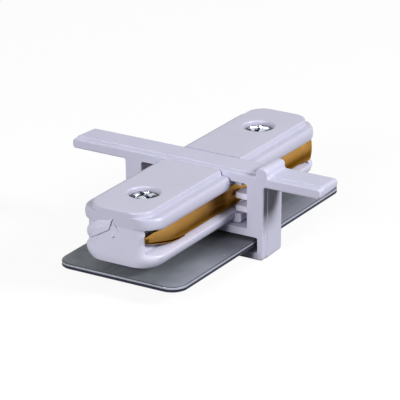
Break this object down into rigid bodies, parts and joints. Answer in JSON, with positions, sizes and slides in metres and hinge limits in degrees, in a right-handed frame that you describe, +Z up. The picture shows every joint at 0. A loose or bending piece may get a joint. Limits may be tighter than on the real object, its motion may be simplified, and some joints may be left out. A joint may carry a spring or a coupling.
{
  "type": "lighting track straight connector",
  "caption": "Straight in-line connector for recessed lighting track, with a winged trim frame, brass contact strips and a clamp plate drawn up by screws.",
  "frame": {"origin": "centre of the trim frame's foot, on the surface the connector stands on", "axes": "+X along the track, from the ledge side of the trim frame to its back; +Y across the track, away from the frame's ridge; +Z up, towards the screw heads"},
  "size_m": [0.0638, 0.0566, 0.0192],
  "materials": {
    "frame_white": "satin moulded",
    "base_white": "satin moulded",
    "front_cover_white": "satin moulded",
    "rear_cover_white": "satin moulded",
    "contact_left_brass": "rolled",
    "contact_right_brass": "rolled",
    "plate_steel": "zinc-plated sheet",
    "front_screw_zinc": "bright plated",
    "rear_screw_zinc": "bright plated"
  },
  "bodies": {
    "connector": {"trim_frame": "frame_white", "base_housing": "base_white", "front_cover": "front_cover_white", "rear_cover": "rear_cover_white", "contact_left": "contact_left_brass", "contact_right": "contact_right_brass"},
    "plate": {"clamp_plate": "plate_steel"},
    "screw_front": {"front_screw": "front_screw_zinc"},
    "screw_rear": {"rear_screw": "rear_screw_zinc"}
  },
  "joints": [
    {"name": "front_screw_turn", "type": "hinge", "parent": "connector", "child": "screw_front", "pos_m": [-0.02135, 0, 0.0148], "axis": [0, 0, 1], "range_deg": [-360, 936]},
    {"name": "rear_screw_turn", "type": "hinge", "parent": "connector", "child": "screw_rear", "pos_m": [0.02135, 0, 0.0148], "axis": [0, 0, 1], "range_deg": [-360, 936]},
    {"name": "plate_lift", "type": "slide", "parent": "connector", "child": "plate", "axis": [0, 0, 1], "range_m": [-0.0013, 0.0005]}
  ],
  "couplings": [
    {"joint": "front_screw_turn", "follows": "plate_lift", "rad_per_m": -12566},
    {"joint": "rear_screw_turn", "follows": "plate_lift", "rad_per_m": -12566}
  ]
}
